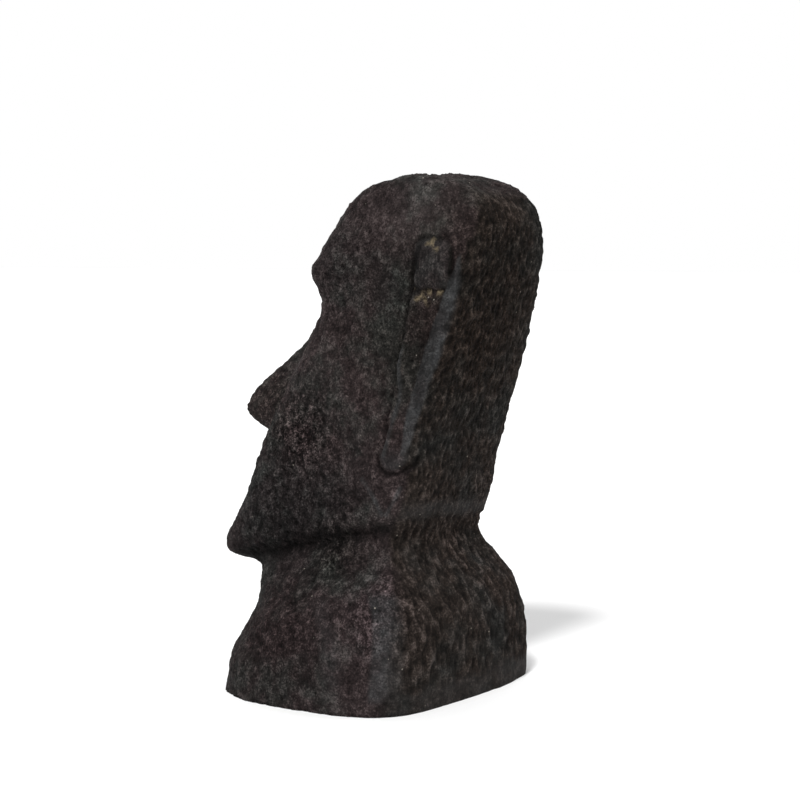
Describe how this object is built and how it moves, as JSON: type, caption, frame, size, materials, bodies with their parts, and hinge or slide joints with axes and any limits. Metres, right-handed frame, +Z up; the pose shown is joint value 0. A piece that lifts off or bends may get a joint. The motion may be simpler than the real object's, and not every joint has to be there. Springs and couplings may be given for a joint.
{
  "type": "moai stone head statue",
  "caption": "Carved moai head leaning back on a broad bust, with heavy brow, jutting nose and chin, long ears and a flat base.",
  "frame": {"origin": "on the ground, under the middle of the statue's box", "axes": "+Z up, the face looks towards -Y, the statue's left ear on +X"},
  "size_m": [0.3584, 0.385, 0.6],
  "materials": {
    "stone": "matt, chiselled and pitted"
  },
  "bodies": {
    "root": {"moai_head": "stone"}
  },
  "joints": []
}
